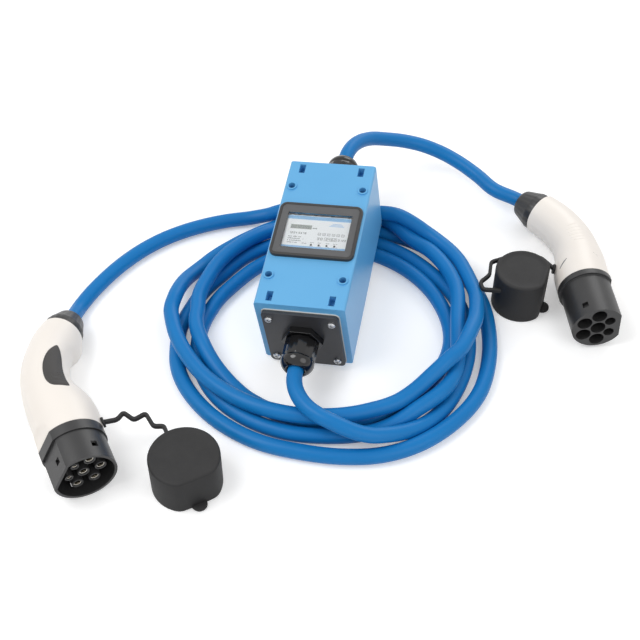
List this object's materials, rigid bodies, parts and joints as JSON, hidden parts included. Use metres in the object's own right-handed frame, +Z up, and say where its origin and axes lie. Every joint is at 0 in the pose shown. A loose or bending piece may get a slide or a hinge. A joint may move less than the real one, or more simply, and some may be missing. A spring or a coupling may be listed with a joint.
{
  "type": "ev charging cable",
  "caption": "Coiled charging cable with a vehicle connector, a charge-point plug, loose dust caps and an in-line energy meter box that rests on the coil.",
  "frame": {"origin": "on the floor under the middle of the meter box", "axes": "+Z up, +Y along the meter box towards the gland of the plug lead, +X to the right"},
  "size_m": [0.6015, 0.5528, 0.1264],
  "materials": {
    "housing_blue": "fine satin grain",
    "screw_steel": "zinc plated",
    "black_plastic": "satin",
    "clear_pane": "clear polycarbonate",
    "meter_white": "satin",
    "meter_face": "printed",
    "lamp_dark": "gloss",
    "rail_steel": "galvanised",
    "core_brown": "insulation",
    "core_black": "insulation",
    "core_green": "insulation",
    "gasket_grey": "matt",
    "black_rubber": "matt",
    "handle_white": "satin",
    "grip_black": "matt, soft touch",
    "contact_silver": "silver plated",
    "cable_blue": "satin jacket"
  },
  "bodies": {
    "root": {"housing_base": "housing_blue", "housing_cover": "housing_blue", "cover_screws": "screw_steel", "window_frame": "black_plastic", "window_pane": "clear_pane", "meter_body": "meter_white", "meter_display": "meter_face", "meter_lamps": "lamp_dark", "terminal_screws": "screw_steel", "meter_latch": "black_plastic", "din_rail": "rail_steel", "rail_screws": "screw_steel", "supply_wires": "core_brown", "load_wires": "core_black", "earth_and_pilot_wires": "core_green", "front_plate": "black_plastic", "rear_plate": "black_plastic", "front_gasket": "gasket_grey", "rear_gasket": "gasket_grey", "front_plate_screws": "screw_steel", "rear_plate_screws": "screw_steel", "front_gland_body": "black_plastic", "rear_gland_body": "black_plastic", "front_gland_nut": "black_plastic", "rear_gland_nut": "black_plastic", "front_gland_seal": "black_rubber", "rear_gland_seal": "black_rubber", "front_locknut": "black_plastic", "rear_locknut": "black_plastic", "connector_shell_left": "handle_white", "connector_shell_right": "handle_white", "connector_grip_left": "grip_black", "connector_grip_right": "grip_black", "connector_shroud": "black_plastic", "connector_insert": "black_plastic", "connector_towers": "black_plastic", "connector_power_contacts": "contact_silver", "connector_signal_contacts": "contact_silver", "connector_wires": "core_brown", "connector_collar": "black_plastic", "connector_seal": "black_rubber", "connector_cap": "black_rubber", "plug_shell_left": "handle_white", "plug_shell_right": "handle_white", "plug_body": "black_plastic", "plug_carrier": "black_plastic", "plug_power_pins": "contact_silver", "plug_signal_pins": "contact_silver", "plug_wires": "core_brown", "plug_collar": "black_plastic", "plug_seal": "black_rubber", "plug_cap": "black_rubber", "cable_coil": "cable_blue", "front_drop": "cable_blue", "connector_tail": "cable_blue", "plug_lead": "cable_blue"}
  },
  "joints": []
}
